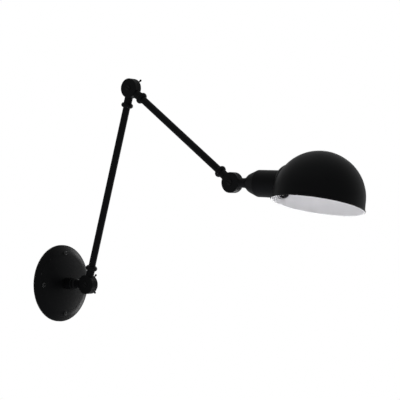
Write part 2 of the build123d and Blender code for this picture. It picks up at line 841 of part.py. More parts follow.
# ---------------------------------------------------------------- lampholder
# the two screws stand across the dome's upright, the two terminals along it
screw_sites = [(-holder_screw_spacing / 2, 0), (holder_screw_spacing / 2, 0)]
post_sites = [(0, -terminal_post_spacing / 2), (0, terminal_post_spacing / 2)]
bridge_back_at = insert_back_at - bridge_thickness
shell_r = shell_bore_d / 2 + shell_wall
shell_foot_at = insert_floor_at + shell_tongue_height
shell_tongue_reach = shell_r - shell_tongue_inset

with BuildPart() as holder_bridge:
    with BuildSketch(across_head(bridge_back_at)):
        Circle(bridge_span / 2)
        Rectangle(bridge_span, bridge_width, mode=Mode.INTERSECT)
        Circle(bridge_hole_d / 2, mode=Mode.SUBTRACT)
        with Locations(*screw_sites):
            Circle(holder_screw_d / 2 + fixed_fit, mode=Mode.SUBTRACT)
    extrude(amount=bridge_thickness)
finish(holder_bridge, "holder_bridge")

with BuildPart() as holder_insert:
    with BuildSketch(across_head(insert_back_at)):
        Circle(insert_d / 2)
    extrude(amount=insert_shoulder_at - insert_back_at)
    with BuildSketch(across_head(insert_shoulder_at)):
        Circle(insert_nose_d / 2)
    extrude(amount=insert_nose_at - insert_shoulder_at)
    with BuildSketch(across_head(insert_floor_at)):
        Circle(shell_r + fixed_fit)
    extrude(amount=insert_nose_at - insert_floor_at, mode=Mode.SUBTRACT)
    fillet(
        holder_insert.edges().filter_by(GeomType.CIRCLE).group_by(Axis(head_pivot, head_axis))[-1],
        radius=insert_nose_round,
    )
    with BuildSketch(across_head(insert_back_at)):
        with Locations(*screw_sites):
            Circle(holder_screw_d / 2 + screw_fit)
        with Locations(*post_sites):
            Circle(terminal_post_d / 2 + fixed_fit)
    extrude(amount=insert_floor_at - insert_back_at, mode=Mode.SUBTRACT)
finish(holder_insert, "holder_insert")

with BuildPart() as holder_screws:
    with BuildSketch(across_head(bridge_back_at - holder_screw_tip)):
        with Locations(*screw_sites):
            Circle(holder_screw_d / 2)
    extrude(amount=insert_floor_at - bridge_back_at + holder_screw_tip)
    with BuildSketch(across_head(insert_floor_at)):
        with Locations(*screw_sites):
            Circle(holder_screw_head_d / 2)
    extrude(amount=holder_screw_head_height)
    with BuildSketch(across_head(insert_floor_at + holder_screw_head_height)):
        with Locations(*screw_sites):
            Rectangle(holder_screw_slot, holder_screw_head_d)
    extrude(amount=-holder_screw_slot, mode=Mode.SUBTRACT)
finish(holder_screws, "holder_screws")

with BuildPart() as screw_shell:
    with BuildSketch(across_head(shell_foot_at)):
        Circle(shell_r)
        Circle(shell_bore_d / 2, mode=Mode.SUBTRACT)
    extrude(amount=shell_mouth_at - shell_foot_at)
    # tongue down to a tab under one terminal's head
    with BuildSketch(across_head(insert_floor_at)):
        with Locations((0, shell_wall / 2 - shell_tongue_reach)):
            Rectangle(contact_width, shell_wall)
    extrude(amount=shell_tongue_height)
    with BuildSketch(across_head(insert_floor_at)):
        with Locations((0, -(shell_tab_end + shell_tongue_reach) / 2)):
            Rectangle(contact_width, shell_tongue_reach - shell_tab_end)
        with Locations(post_sites[0]):
            Circle(terminal_post_d / 2 + fixed_fit, mode=Mode.SUBTRACT)
    extrude(amount=shell_wall)
finish(screw_shell, "screw_shell")

with BuildPart() as centre_contact:
    with BuildSketch(head_section):
        with BuildLine():
            contact_path = Polyline(
                (contact_foot_end, insert_floor_at + contact_thickness / 2),
                (contact_bend, insert_floor_at + contact_thickness / 2),
                (contact_top_start, insert_floor_at + contact_rise),
                (contact_top_end, insert_floor_at + contact_rise),
            )
            offset(contact_path, amount=contact_thickness / 2, side=Side.BOTH)
        make_face()
    extrude(amount=contact_width / 2, both=True)
    with BuildSketch(across_head(insert_floor_at)):
        with Locations(post_sites[1]):
            Circle(terminal_post_d / 2 + fixed_fit)
    extrude(amount=contact_thickness, mode=Mode.SUBTRACT)
finish(centre_contact, "centre_contact")

barrel_end_at = insert_back_at - terminal_barrel_length
with BuildPart() as holder_terminals:
    with BuildSketch(across_head(barrel_end_at)):
        with Locations(*post_sites):
            Circle(terminal_barrel_d / 2)
    extrude(amount=terminal_barrel_length)
    for site, seat in zip(post_sites, (shell_wall, contact_thickness)):
        with BuildSketch(across_head(insert_back_at)):
            with Locations(site):
                Circle(terminal_post_d / 2)
        extrude(amount=insert_floor_at + seat - insert_back_at)
        with BuildSketch(across_head(insert_floor_at + seat)):
            with Locations(site):
                Circle(terminal_post_head_d / 2)
        extrude(amount=terminal_post_head_height)
    # one wire hole across each barrel
    wire_hole_at = barrel_end_at + terminal_barrel_wire_at
    wire_holes = Plane(
        origin=head_pivot + head_axis * wire_hole_at, x_dir=head_axis, z_dir=dome_up.cross(head_axis)
    )
    with BuildSketch(wire_holes):
        with Locations((0, terminal_post_spacing / 2), (0, -terminal_post_spacing / 2)):
            Circle(terminal_barrel_wire_d / 2)
    extrude(amount=terminal_barrel_d, both=True, mode=Mode.SUBTRACT)
finish(holder_terminals, "holder_terminals")

# ---------------------------------------------------------------- shade
dome_centre = head_pivot + head_axis * dome_centre_at - dome_up * dome_centre_drop
dome_line = Axis(dome_centre, dome_up)
dome_section = Plane(origin=dome_centre, x_dir=head_axis, z_dir=head_axis.cross(dome_up))
collar_r = collar_d / 2
collar_end_at = cup_mouth_at + collar_depth
shade_seat_at = cup_mouth_at + shade_wall


def dome_half_section(inset):
    """Dome and skirt about the dome's own upright, inset by the wall for its inside."""
    radius = dome_r - inset
    crown = (0, radius)
    haunch = (radius * cos(radians(45)), radius * sin(radians(45)))
    rim = (rim_d / 2 - inset, -skirt_depth)
    ThreePointArc(crown, haunch, (radius, 0))
    Polyline((radius, 0), rim, (0, -skirt_depth), crown)


def collar_half_section(inset):
    """Rounded collar about the head's axis, from the cup's mouth into the dome."""
    flat = collar_flat_d / 2
    side = collar_r - inset
    start = cup_mouth_at + inset
    EllipticalCenterArc(
        center=(flat, collar_end_at),
        x_radius=side - flat,
        y_radius=collar_end_at - start,
        start_angle=270,
        arc_size=90,
    )
    Polyline(
        (side, collar_end_at),
        (side, dome_centre_at),
        (0, dome_centre_at),
        (0, start),
        (flat, start),
    )


with BuildPart() as shade:
    with BuildSketch(dome_section):
        with BuildLine():
            dome_half_section(0)
        make_face()
    revolve(axis=dome_line)
    with BuildSketch(head_section):
        with BuildLine():
            collar_half_section(0)
        make_face()
    revolve(axis=head_line)
    # flat seat for the cup's mouth
    with BuildSketch(across_head(0)):
        Circle(shade_seat_d / 2)
    extrude(amount=cup_mouth_at, mode=Mode.SUBTRACT)

    # the inside, kept one wall away from the seat
    with BuildPart(mode=Mode.PRIVATE) as hollow:
        with BuildSketch(dome_section):
            with BuildLine():
                dome_half_section(shade_wall)
            make_face()
        revolve(axis=dome_line)
        with BuildSketch(head_section):
            with BuildLine():
                collar_half_section(shade_wall)
            make_face()
        revolve(axis=head_line)
        with BuildSketch(across_head(0)):
            Circle(shade_seat_d / 2 + shade_wall)
        extrude(amount=shade_seat_at, mode=Mode.SUBTRACT)
    add(hollow.part, mode=Mode.SUBTRACT)
    rim_plane = Plane(origin=dome_centre - dome_up * skirt_depth, z_dir=dome_up)
    split(bisect_by=rim_plane, keep=Keep.TOP)
    with BuildSketch(across_head(cup_mouth_at)):
        Circle(cup_bore_d / 2 + fixed_fit)
    extrude(amount=shade_wall, mode=Mode.SUBTRACT)

    # rolled bead round the rim
    with BuildSketch(dome_section):
        with Locations((rim_d / 2 - shade_wall + rim_bead_d / 2, -skirt_depth)):
            Circle(rim_bead_d / 2)
    revolve(axis=dome_line)
finish(shade, "shade")

ring_r = cup_bore_d / 2 - fixed_fit
with BuildPart() as shade_ring:
    with BuildSketch(across_head(insert_shoulder_at)):
        Circle(ring_r)
    extrude(amount=shade_seat_at - insert_shoulder_at)
    with BuildSketch(across_head(shade_seat_at)):
        Circle(ring_flange_d / 2)
    extrude(amount=ring_flange)
    fillet(
        shade_ring.edges().filter_by(GeomType.CIRCLE).group_by(Axis(head_pivot, head_axis))[-1],
        radius=ring_flange_round,
    )
    with BuildSketch(across_head(insert_shoulder_at)):
        Circle(ring_r - ring_wall)
    extrude(amount=shade_seat_at + ring_flange - insert_shoulder_at, mode=Mode.SUBTRACT)
finish(shade_ring, "shade_ring")
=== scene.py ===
import json
from math import atan2, cos, pi, radians, sin, tau
import bpy
import bmesh
from mathutils import Matrix, Vector


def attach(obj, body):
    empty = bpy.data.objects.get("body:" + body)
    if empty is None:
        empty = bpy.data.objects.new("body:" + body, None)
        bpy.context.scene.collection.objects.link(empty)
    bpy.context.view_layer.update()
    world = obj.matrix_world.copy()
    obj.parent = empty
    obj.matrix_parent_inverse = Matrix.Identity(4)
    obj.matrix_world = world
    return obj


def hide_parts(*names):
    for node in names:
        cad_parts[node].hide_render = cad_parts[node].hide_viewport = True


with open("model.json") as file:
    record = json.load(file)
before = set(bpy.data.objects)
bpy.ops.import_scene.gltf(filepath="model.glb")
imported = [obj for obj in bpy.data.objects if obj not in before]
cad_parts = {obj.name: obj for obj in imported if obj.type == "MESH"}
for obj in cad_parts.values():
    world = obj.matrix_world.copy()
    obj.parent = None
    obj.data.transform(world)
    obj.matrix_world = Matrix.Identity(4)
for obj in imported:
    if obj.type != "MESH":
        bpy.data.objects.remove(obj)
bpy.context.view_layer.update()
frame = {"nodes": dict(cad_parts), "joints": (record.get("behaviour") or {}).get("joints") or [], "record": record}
print("frame loaded:", len(frame["nodes"]), "nodes")

mm = 0.001  # the pieces' sizes are in millimetres
mergeGap = 0.001 * mm

# ---- where things are, read from the frame's joints
joints = {joint["name"]: joint for joint in frame["joints"]}
basePivot = Vector(joints["base_hinge"]["pos_m"])
elbowPivot = Vector(joints["elbow_hinge"]["pos_m"])
headPivot = Vector(joints["head_hinge"]["pos_m"])
headAlong = Vector(joints["head_swivel_turn"]["axis"]).normalized()
lowerAlong = (elbowPivot - basePivot).normalized()
upperAlong = (headPivot - elbowPivot).normalized()
wallOrigin = Vector((0, 0, 0))
offWall = Vector((0, -1, 0))
toWall = offWall * -1
sideways = Vector((1, 0, 0))


# ---- shapes
def placeAt(origin, along, side=sideways):
    # local Z runs along, local X as near to side as it can
    along = along.normalized()
    side = (side - along * side.dot(along)).normalized()
    turn = Matrix((side, along.cross(side), along)).transposed().to_4x4()
    return Matrix.Translation(origin) @ turn


def drawOutline(shape, path, arcSteps):
    # path is (radius, height) in mm; two more numbers are the centre of an arc that ends there
    def point(radius, height):
        return Vector((radius * mm, 0, height * mm))

    first = last = shape.verts.new(point(*path[0]))
    for stop in path[1:]:
        end = point(*stop[:2])
        if len(stop) == 4:
            centre = point(*stop[2:])
            start, finish = last.co - centre, end - centre
            sweep = atan2(finish.x, finish.z) - atan2(start.x, start.z)
            sweep = (sweep + pi) % tau - pi  # the short way round
            swept = bmesh.ops.spin(
                shape, geom=[last], cent=centre, axis=(0, 1, 0), angle=sweep, steps=arcSteps
            )
            last = [item for item in swept["geom_last"] if isinstance(item, bmesh.types.BMVert)][0]
            last.co = end
        else:
            corner = shape.verts.new(end)
            shape.edges.new((last, corner))
            last = corner
    if first.co.x > 0 or last.co.x > 0:
        shape.edges.new((last, first))  # only an outline from axis to axis stays open


def spinRound(shape, steps):
    bmesh.ops.spin(
        shape,
        geom=shape.verts[:] + shape.edges[:],
        cent=(0, 0, 0),
        axis=(0, 0, 1),
        angle=tau,
        steps=steps,
        use_merge=True,
    )


def turned(path, place, steps=96, arcSteps=10):
    # a lathe shape: the outline spun once round local Z
    shape = bmesh.new()
    drawOutline(shape, path, arcSteps)
    spinRound(shape, steps)
    bmesh.ops.remove_doubles(shape, verts=shape.verts, dist=mergeGap)
    bmesh.ops.recalc_face_normals(shape, faces=shape.faces)
    shape.transform(place)
    return shape


def rod(radius, start, end, place, steps):
    return turned([(0, start), (radius, start), (radius, end), (0, end)], place, steps)


def looseObject(shape):
    mesh = bpy.data.meshes.new("loose")
    shape.to_mesh(mesh)
    shape.free()
    loose = bpy.data.objects.new("loose", mesh)
    bpy.context.collection.objects.link(loose)
    return loose


def combine(shape, tool, operation="DIFFERENCE"):
    # one shape cut by, or joined to, another; both are used up
    target, other = looseObject(shape), looseObject(tool)
    step = target.modifiers.new("step", "BOOLEAN")
    step.operation = operation
    step.solver = "EXACT"
    step.object = other
    made = bmesh.new()
    made.from_object(target, bpy.context.evaluated_depsgraph_get())
    for spent in (target, other):
        mesh = spent.data
        bpy.data.objects.remove(spent)
        bpy.data.meshes.remove(mesh)
    bmesh.ops.remove_doubles(made, verts=made.verts, dist=mergeGap)
    return made


def softenEdges(shape, width, segments=2, angle=35, outerOnly=False):
    # outerOnly rounds the outward edges alone, at their full width where they run close
    sharp = [
        edge
        for edge in shape.edges
        if len(edge.link_faces) == 2 and edge.calc_face_angle(0) > radians(angle)
    ]
    bmesh.ops.bevel(
        shape,
        geom=[edge for edge in sharp if edge.is_convex or not outerOnly],
        offset=width * mm,
        offset_type="OFFSET",
        affect="EDGES",
        segments=segments,
        profile=0.5,
        material=-1,
        clamp_overlap=not outerOnly,
    )


def addPiece(name, shape, body, node, slot, *coats, smooth=35):
    # a piece in place of one node; its coats are named finishes
    mesh = bpy.data.meshes.new(name)
    shape.to_mesh(mesh)
    shape.free()
    mesh.shade_smooth()
    mesh.set_sharp_from_angle(angle=radians(smooth))
    for coat in coats:
        mesh.materials.append(finishes[coat])
    piece = bpy.data.objects.new(name, mesh)
    bpy.context.collection.objects.link(piece)
    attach(piece, body)
    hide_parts(node)
    return piece


# ---- finishes
pattern = {
    "cloudDetail": 3.0,
    "grainDetail": 2.0,
    "noiseRoughness": 0.55,
    "cloudLow": 0.3,
    "cloudHigh": 0.7,
}


def makeGrainGroup(p):
    # clouds of wear and a fine grain, both from where the point is on its own piece
    group = bpy.data.node_groups.new("surfaceGrain", "ShaderNodeTree")
    interface = group.interface
    interface.new_socket("Place", in_out="INPUT", socket_type="NodeSocketVector")
    interface.new_socket("Cloud Scale", in_out="INPUT", socket_type="NodeSocketFloat")
    interface.new_socket("Grain Scale", in_out="INPUT", socket_type="NodeSocketFloat")
    interface.new_socket("Cloud", in_out="OUTPUT", socket_type="NodeSocketFloat")
    interface.new_socket("Grain", in_out="OUTPUT", socket_type="NodeSocketFloat")
    nodes, links = group.nodes, group.links
    given = nodes.new("NodeGroupInput")
    result = nodes.new("NodeGroupOutput")
    for size, output, detail in [
        ("Cloud Scale", "Cloud", p["cloudDetail"]),
        ("Grain Scale", "Grain", p["grainDetail"]),
    ]:
        noise = nodes.new("ShaderNodeTexNoise")
        noise.inputs["Detail"].default_value = detail
        noise.inputs["Roughness"].default_value = p["noiseRoughness"]
        links.new(given.outputs["Place"], noise.inputs["Vector"])
        links.new(given.outputs[size], noise.inputs["Scale"])
        links.new(noise.outputs["Fac"], result.inputs[output])
    return group


grainGroup = makeGrainGroup(pattern)


def makeFinish(name, look):
    finish = bpy.data.materials.new(name)
    finish.use_nodes = True
    nodes, links = finish.node_tree.nodes, finish.node_tree.links
    shader = nodes["Principled BSDF"]
    shader.inputs["Metallic"].default_value = look.get("metallic", 0.0)
    shader.inputs["Coat Weight"].default_value = look.get("coat", 0.0)
    shader.inputs["Coat Roughness"].default_value = look.get("coatRoughness", 0.2)
    shader.inputs["Specular IOR Level"].default_value = look.get("specular", 0.5)
    shader.inputs["Emission Color"].default_value = (1, 1, 1, 1)
    shader.inputs["Emission Strength"].default_value = look.get("glow", 0.0)

    place = nodes.new("ShaderNodeTexCoord")
    grain = nodes.new("ShaderNodeGroup")
    grain.node_tree = grainGroup
    grain.inputs["Cloud Scale"].default_value = look["cloudScale"]
    grain.inputs["Grain Scale"].default_value = look["grainScale"]
    links.new(place.outputs["Object"], grain.inputs["Place"])

    tone = nodes.new("ShaderNodeMix")
    tone.data_type = "RGBA"
    tone.inputs["A"].default_value = (*look["colour"], 1)
    tone.inputs["B"].default_value = (*look["otherColour"], 1)
    links.new(grain.outputs["Cloud"], tone.inputs["Factor"])
    links.new(tone.outputs["Result"], shader.inputs["Base Color"])

    gloss = nodes.new("ShaderNodeMapRange")
    gloss.inputs["From Min"].default_value = pattern["cloudLow"]
    gloss.inputs["From Max"].default_value = pattern["cloudHigh"]
    gloss.inputs["To Min"].default_value = look["roughness"][0]
    gloss.inputs["To Max"].default_value = look["roughness"][1]
    links.new(grain.outputs["Cloud"], gloss.inputs["Value"])
    links.new(gloss.outputs["Result"], shader.inputs["Roughness"])

    relief = nodes.new("ShaderNodeBump")
    relief.inputs["Strength"].default_value = look["relief"]
    relief.inputs["Distance"].default_value = look["reliefHeight"] * mm
    links.new(grain.outputs["Grain"], relief.inputs["Height"])
    links.new(relief.outputs["Normal"], shader.inputs["Normal"])
    return finish


looks = {
    "blackPaint": {
        "colour": (0.0041, 0.0043, 0.0052),
        "otherColour": (0.0058, 0.0060, 0.0068),
        "roughness": (0.37, 0.43),
        "specular": 0.2,
        "cloudScale": 45,
        "grainScale": 1400,
        "relief": 0.25,
        "reliefHeight": 0.03,
    },
    "blackSteel": {
        "colour": (0.018, 0.018, 0.019),
        "otherColour": (0.030, 0.030, 0.031),
        "roughness": (0.32, 0.42),
        "metallic": 0.75,
        "cloudScale": 160,
        "grainScale": 2600,
        "relief": 0.2,
        "reliefHeight": 0.02,
    },
    "screwSteel": {
        "colour": (0.085, 0.085, 0.087),
        "otherColour": (0.12, 0.12, 0.12),
        "roughness": (0.24, 0.32),
        "metallic": 0.9,
        "cloudScale": 160,
        "grainScale": 2600,
        "relief": 0.2,
        "reliefHeight": 0.02,
    },
    "whiteEnamel": {
        "colour": (0.79, 0.785, 0.80),
        "otherColour": (0.83, 0.825, 0.84),
        "roughness": (0.34, 0.42),
        "cloudScale": 35,
        "grainScale": 1200,
        "relief": 0.2,
        "reliefHeight": 0.03,
    },
    "zincSteel": {
        "colour": (0.50, 0.51, 0.53),
        "otherColour": (0.66, 0.66, 0.66),
        "roughness": (0.28, 0.46),
        "metallic": 1.0,
        "cloudScale": 120,
        "grainScale": 1800,
        "relief": 0.2,
        "reliefHeight": 0.02,
    },
    "brass": {
        "colour": (0.74, 0.51, 0.20),
        "otherColour": (0.62, 0.42, 0.17),
        "roughness": (0.22, 0.36),
        "metallic": 1.0,
        "cloudScale": 150,
        "grainScale": 2000,
        "relief": 0.15,
        "reliefHeight": 0.02,
    },
    "blackNylon": {
        "colour": (0.010, 0.010, 0.011),
        "otherColour": (0.016, 0.016, 0.016),
        "roughness": (0.55, 0.68),
        "cloudScale": 90,
        "grainScale": 2400,
        "relief": 0.3,
        "reliefHeight": 0.03,
    },
    "whiteNylon": {
        "colour": (0.74, 0.73, 0.69),
        "otherColour": (0.80, 0.79, 0.76),
        "roughness": (0.45, 0.58),
        "cloudScale": 90,
        "grainScale": 2000,
        "relief": 0.2,
        "reliefHeight": 0.03,
    },
    "porcelain": {
        "colour": (0.80, 0.79, 0.75),
        "otherColour": (0.86, 0.85, 0.82),
        "roughness": (0.16, 0.24),
        "coat": 0.6,
        "coatRoughness": 0.08,
        "cloudScale": 60,
        "grainScale": 700,
        "relief": 0.15,
        "reliefHeight": 0.04,
    },
    "paleFloor": {
        "colour": (0.82, 0.82, 0.82),
        "otherColour": (0.84, 0.84, 0.84),
        "roughness": (0.6, 0.7),
        "glow": 0.6,
        "cloudScale": 2,
        "grainScale": 60,
        "relief": 0.05,
        "reliefHeight": 0.2,
    },
}
finishes = {name: makeFinish(name, look) for name, look in looks.items()}

slotFinish = {
    "black_paint": "blackPaint",
    "blackened_steel": "blackSteel",
    "zinc_steel": "zincSteel",
    "brass": "brass",
    "black_nylon": "blackNylon",
    "white_nylon": "whiteNylon",
    "porcelain": "porcelain",
}
subparts = frame["record"]["subparts"]
nodeFinish = {part["node"]: slotFinish[part["material_slot"]] for part in subparts}
nodeFinish["rose_screws"] = "screwSteel"  # brighter than the bolts, for their glints
for name, node in frame["nodes"].items():
    for place in node.material_slots:
        place.material = finishes[nodeFinish[name]]
print("finishes made:", len(finishes))

# ---- wall rose, with a flat seat for each screw; heights are off the wall
rose = {
    "radius": 66.3,
    "edge": 3.0,
    "edgeRound": 1.0,
    "shoulder": (50.0, 11.3),
    "shoulderCentre": (43.1, -22.8),
    "land": (15.0, 16.3),
    "capCentre": (0.0, -213.7),
    "hole": 8.45,
    "wall": 1.2,
    "innerSlope": 1.0,
    "screwCircle": 52.4,
    "seatRadius": 3.8,
    "seatTop": 10.4,
    "seatBottom": 8.0,
    "screwHole": 2.2,
    "cutTop": 20.0,
    "steps": 160,
    "arcSteps": 16,
    "seatSteps": 40,
    "holeSteps": 32,
}


def rosePath(r):
    wall, radius, edge, slope = r["wall"], r["radius"], r["edge"], r["innerSlope"]
    shoulder, land = r["shoulder"], r["land"]
    rim, inner = radius - r["edgeRound"], radius - wall
    innerCap = (r["capCentre"][0], r["capCentre"][1] - wall)
    innerShoulder = (r["shoulderCentre"][0], r["shoulderCentre"][1] - wall)
    return [
        (inner, 0),
        (radius, 0),
        (radius, edge),
        (rim, edge + r["edgeRound"], rim, edge),
        (*shoulder, *r["shoulderCentre"]),
        (*land, *r["capCentre"]),
        (r["hole"], land[1]),
        (r["hole"], land[1] - wall),
        (land[0], land[1] - wall),
        (shoulder[0], shoulder[1] - wall, *innerCap),
        (inner - slope, edge - wall + slope, *innerShoulder),
        (inner, edge - wall),
    ]


def roseShape(r):
    shape = turned(rosePath(r), placeAt(wallOrigin, offWall), r["steps"], r["arcSteps"])
    for quarter in range(4):
        angle = quarter * tau / 4
        centre = Vector((cos(angle), 0, sin(angle))) * r["screwCircle"] * mm
        site = placeAt(centre, offWall)
        seat = rod(r["seatRadius"], r["seatBottom"], r["seatTop"], site, r["seatSteps"])
        above = rod(r["seatRadius"], r["seatTop"], r["cutTop"], site, r["seatSteps"])
        hole = rod(r["screwHole"], 0, r["cutTop"], site, r["holeSteps"])
        shape = combine(shape, seat, "UNION")
        shape = combine(shape, above)
        shape = combine(shape, hole)
    return shape


addPiece("wallRose", roseShape(rose), "wall_mount", "wall_rose", "black_paint", "blackPaint")
print("wall rose made")

# ---- turret that stands on the rose, drawn from the hinge towards the wall
turret = {
    "radius": 9.8,
    "round": 0.8,
    "neckRadius": 8.4,
    "bore": 5.06,
    "start": 33.8,
    "neckStart": 48.0,
    "end": 50.4,
}


def turretPath(t):
    roundRadius, roundHeight = t["radius"] - t["round"], t["start"] + t["round"]
    return [
        (t["bore"], t["start"]),
        (roundRadius, t["start"]),
        (t["radius"], roundHeight, roundRadius, roundHeight),
        (t["radius"], t["neckStart"]),
        (t["neckRadius"], t["neckStart"]),
        (t["neckRadius"], t["end"]),
        (t["bore"], t["end"]),
    ]


turretShape = turned(turretPath(turret), placeAt(basePivot, toWall))
addPiece("baseTurret", turretShape, "wall_mount", "base_turret", "black_paint", "blackPaint")

# ---- ferrules, turned rings with a round crown
ferrule = {"inner": 6.05, "edge": 7.4, "crown": 10.0, "start": 25.2, "end": 33.0, "edgeSoft": 0.25}
ferrules = [
    ("base_ferrule", basePivot, toWall, "base_swivel"),
    ("lower_arm_heel_ferrule", basePivot, lowerAlong, "lower_arm"),
    ("lower_arm_elbow_ferrule", elbowPivot, lowerAlong * -1, "lower_arm"),
    ("upper_arm_elbow_ferrule", elbowPivot, upperAlong, "upper_arm"),
    ("upper_arm_head_ferrule", headPivot, upperAlong * -1, "upper_arm"),
]


def ferrulePath(f):
    middle = (f["start"] + f["end"]) / 2
    half, rise = (f["end"] - f["start"]) / 2, f["crown"] - f["edge"]
    centre = f["crown"] - (half**2 + rise**2) / (2 * rise)
    return [
        (f["inner"], f["start"]),
        (f["edge"], f["start"]),
        (f["crown"], middle, centre, middle),
        (f["edge"], f["end"], centre, middle),
        (f["inner"], f["end"]),
    ]


for node, pivot, along, body in ferrules:
    shape = turned(ferrulePath(ferrule), placeAt(pivot, along))
    softenEdges(shape, ferrule["edgeSoft"])
    addPiece(node + ".turned", shape, body, node, "black_paint", "blackPaint")

# ---- arm tubes
tube = {"outer": 6.0, "inner": 5.0, "start": 25.2, "steps": 64}
tubes = [
    ("lower_arm_tube", basePivot, elbowPivot, "lower_arm"),
    ("upper_arm_tube", elbowPivot, headPivot, "upper_arm"),
]


def tubePath(t, length):
    start, end = t["start"], length - t["start"]
    return [(t["inner"], start), (t["outer"], start), (t["outer"], end), (t["inner"], end)]


for node, start, end, body in tubes:
    along = end - start
    shape = turned(tubePath(tube, along.length / mm), placeAt(start, along), tube["steps"])
    addPiece(node + ".drawn", shape, body, node, "black_paint", "blackPaint")
print("turret, ferrules and tubes made")

# ---- wing nuts, cast with soft edges
wingNut = {"edgeSoft": 0.5, "segments": 3, "flatAngle": 1.0}
wingNuts = ["base_wing_nut", "elbow_wing_nut", "head_wing_nut"]


def castCopy(node, w):
    # the node's own shape, its flats made whole and its outer edges rounded
    shape = bmesh.new()
    shape.from_mesh(frame["nodes"][node].data)
    bmesh.ops.remove_doubles(shape, verts=shape.verts, dist=mergeGap)
    bmesh.ops.dissolve_limit(
        shape, angle_limit=radians(w["flatAngle"]), verts=shape.verts, edges=shape.edges
    )
    softenEdges(shape, w["edgeSoft"], w["segments"], outerOnly=True)
    return shape


for node in wingNuts:
    addPiece(node + ".cast", castCopy(node, wingNut), node, node, "blackened_steel", "blackSteel")
print("wing nuts made")

# ---- lampholder cup, drawn from the head's hinge towards the shade
cup = {
    "bore": 5.06,
    "start": (8.3, 26.0),
    "neck": (8.5, 29.5),
    "shoulder": (15.4, 37.4),
    "shoulderCentre": (0.6, 43.36),
    "coneEnd": (20.71, 50.59),
    "sideStart": (21.0, 52.07),
    "turnCentre": (17.0, 52.08),
    "mouth": (21.2, 94.8),
    "mouthBore": 19.6,
    "inside": [(19.6, 52.8), (13.9, 38.9), (9.8, 32.0)],
    "steps": 128,
    "arcSteps": 14,
}


def cupPath(c):
    return [
        (c["bore"], c["start"][1]),
        c["start"],
        c["neck"],
        (*c["shoulder"], *c["shoulderCentre"]),
        c["coneEnd"],
        (*c["sideStart"], *c["turnCentre"]),
        c["mouth"],
        (c["mouthBore"], c["mouth"][1]),
        *c["inside"],
        (c["bore"], c["inside"][-1][1]),
    ]


cupShape = turned(cupPath(cup), placeAt(headPivot, headAlong), cup["steps"], cup["arcSteps"])
addPiece("lampholderCup", cupShape, "head", "lampholder_cup", "black_paint", "blackPaint")

# ---- shade: a dome and a rounded collar, hollowed together
shade = {
    "roll": 12.7,  # degrees that it is turned on its swivel
    "radius": 69.24,
    "centreAt": 162.6,
    "centreDrop": 17.9,
    "skirt": 12.1,
    "rim": 70.0,
    "bead": 1.1,
    "wall": 1.0,
    "collarFlat": 21.1,
    "collarSide": 31.0,
    "collarStart": 94.8,
    "collarEnd": 107.9,
    "collarLead": 0.3,
    "seatRadius": 21.6,
    "seatCut": 20.0,
    "hole": 19.65,
    "holeCut": 5.0,
    "skirtCut": 4.0,
    "belowRadius": 100.0,
    "belowEnd": 60.0,
    "enamelEdge": -0.1,  # the bead's faces that look outwards less than this are enamelled
    "steps": 192,
    "domeSteps": 64,
    "collarSteps": 24,
    "cutSteps": 96,
    "belowSteps": 64,
    "beadSteps": 20,
    "smooth": 30,
}
headLift = headAlong.cross(sideways)
domeUp = headLift * cos(radians(shade["roll"])) + sideways * sin(radians(shade["roll"]))
domeCentre = headPivot + headAlong * shade["centreAt"] * mm - domeUp * shade["centreDrop"] * mm
domePlace = placeAt(domeCentre, domeUp, headAlong)
collarPlace = placeAt(headPivot, headAlong, domeUp)


def domeSolid(s, inset):
    # runs past the rim, where the cut below the skirt trims it
    radius, rim, end = s["radius"] - inset, s["rim"] - inset, -s["skirt"] - s["skirtCut"]
    path = [(0, radius), (radius, 0, 0, 0), (rim, -s["skirt"]), (rim, end), (0, end)]
    return turned(path, domePlace, s["steps"], s["domeSteps"])


def collarSolid(s, inset):
    # the quarter ellipse is a quarter circle in a squeezed height
    flat, side, start = s["collarFlat"], s["collarSide"] - inset, s["collarStart"] + inset
    lead = start - s["collarLead"]
    squeeze = (side - flat) / (s["collarEnd"] - start)
    path = [
        (0, lead * squeeze),
        (flat, lead * squeeze),
        (flat, start * squeeze),
        (side, s["collarEnd"] * squeeze, flat, s["collarEnd"] * squeeze),
        (side, s["centreAt"] * squeeze),
        (0, s["centreAt"] * squeeze),
    ]
    stretch = Matrix.Diagonal((1, 1, 1 / squeeze, 1))
    return turned(path, collarPlace @ stretch, s["steps"], s["collarSteps"])


def shadeShape(s):
    seat, wall, steps = s["collarStart"], s["wall"], s["cutSteps"]
    shape = combine(domeSolid(s, 0), collarSolid(s, 0), "UNION")
    below = rod(s["belowRadius"], -s["skirt"], -s["belowEnd"], domePlace, s["belowSteps"])
    shape = combine(shape, below)
    ahead = rod(s["seatRadius"], seat - s["seatCut"], seat, collarPlace, steps)
    shape = combine(shape, ahead)
    hollow = combine(domeSolid(s, wall), collarSolid(s, wall), "UNION")
    kept = rod(s["seatRadius"] + wall, seat - s["seatCut"], seat + wall, collarPlace, steps)
    shape = combine(shape, combine(hollow, kept))
    hole = rod(s["hole"], seat - s["holeCut"], seat + s["holeCut"], collarPlace, steps)
    return combine(shape, hole)


def beadRing(s):
    # the rolled edge: a small circle stood up at the rim and spun round
    ring = bmesh.new()
    bmesh.ops.create_circle(ring, radius=s["bead"] * mm, segments=s["beadSteps"])
    centre = Vector((s["rim"] - s["wall"] + s["bead"], 0, -s["skirt"])) * mm
    ring.transform(Matrix.Translation(centre) @ Matrix.Rotation(tau / 4, 4, "X"))
    spinRound(ring, s["steps"])
    bmesh.ops.recalc_face_normals(ring, faces=ring.faces)
    ring.transform(domePlace)
    return ring


